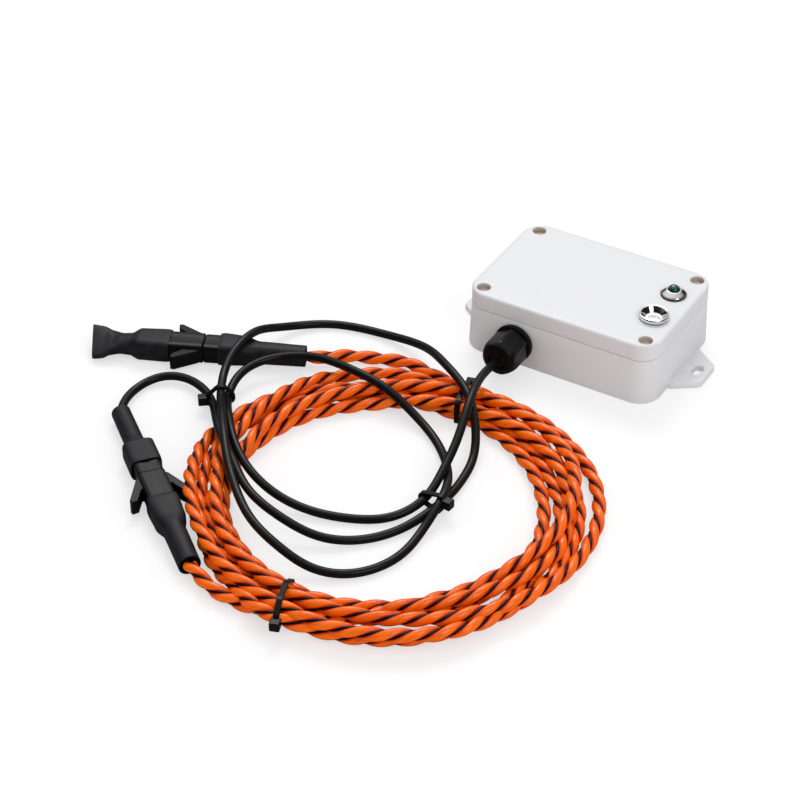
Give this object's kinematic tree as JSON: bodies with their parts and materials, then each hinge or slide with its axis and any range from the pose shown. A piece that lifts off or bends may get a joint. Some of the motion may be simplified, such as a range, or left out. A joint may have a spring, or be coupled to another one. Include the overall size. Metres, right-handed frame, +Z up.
{
  "type": "water leak sensor",
  "caption": "Flat white screwed box with ears, a push button, a lamp and a cable gland; its black lead plugs into a coiled orange water sensing rope.",
  "frame": {"origin": "centre of the box's underside, half way between the two mounting ears, on the surface that it lies on", "axes": "+X along the box's long side towards the lamp and the button, -Y out of the cable gland, +Z up out of the lid"},
  "size_m": [0.2638, 0.2767, 0.0361],
  "materials": {
    "case": "fine satin white moulding",
    "nylon_black": "semi-gloss black nylon",
    "shrink_black": "soft semi-matte heat-shrink tube",
    "jacket_black": "satin black cable jacket",
    "rubber_black": "dull black rubber",
    "rope_orange": "glossy orange sensing rope",
    "chrome": "polished bright metal",
    "steel": "plain zinc-plated steel",
    "lens_green": "tinted clear green dome",
    "board_green": "solder mask",
    "grey_plastic": "dark grey moulding",
    "cell_sleeve": "plain coloured cell sleeve",
    "terminal_blue": "blue moulding",
    "silicone": "grey silicone"
  },
  "bodies": {
    "sensor": {"base_housing": "case", "lid": "case", "lid_gasket": "silicone", "lid_screw_1": "steel", "lid_screw_2": "steel", "lid_screw_3": "steel", "lid_screw_4": "steel", "led_gasket": "rubber_black", "led_bezel": "chrome", "led_lens": "lens_green", "led_nut": "steel", "button_gasket": "rubber_black", "button_bezel": "chrome", "button_switch_body": "grey_plastic", "button_spring": "steel", "button_nut": "steel", "gland_washer": "rubber_black", "gland_body": "nylon_black", "gland_cap_nut": "nylon_black", "gland_seal": "rubber_black", "gland_locknut": "nylon_black", "lead_inner_jacket": "jacket_black", "lead_core_1": "rope_orange", "lead_core_2": "jacket_black", "circuit_board": "board_green", "board_screw_1": "steel", "board_screw_2": "steel", "board_screw_3": "steel", "board_screw_4": "steel", "battery_holder": "grey_plastic", "battery_1": "cell_sleeve", "battery_2": "cell_sleeve", "radio_module": "steel", "radio_antenna": "silicone", "terminal_block": "terminal_blue", "sensor_lead": "jacket_black", "lead_tie_left": "nylon_black", "lead_tie_right": "nylon_black", "lead_sleeve": "shrink_black", "socket_a": "nylon_black", "plug_a": "nylon_black", "rope_sleeve_a": "shrink_black", "rope_coil": "rope_orange", "rope_tail": "rope_orange", "rope_tie_1": "nylon_black", "rope_tie_2": "nylon_black", "rope_sleeve_b": "shrink_black", "socket_b": "nylon_black", "plug_b": "nylon_black", "end_cap_b": "shrink_black"},
    "button": {"button_cap": "chrome"}
  },
  "joints": [
    {"name": "button_press", "type": "slide", "parent": "sensor", "child": "button", "axis": [0, 0, -1], "range_m": [0, 0.0012], "stiffness_N_per_m": 1200, "springref_m": -0.001, "deforming": ["button_spring"]}
  ]
}
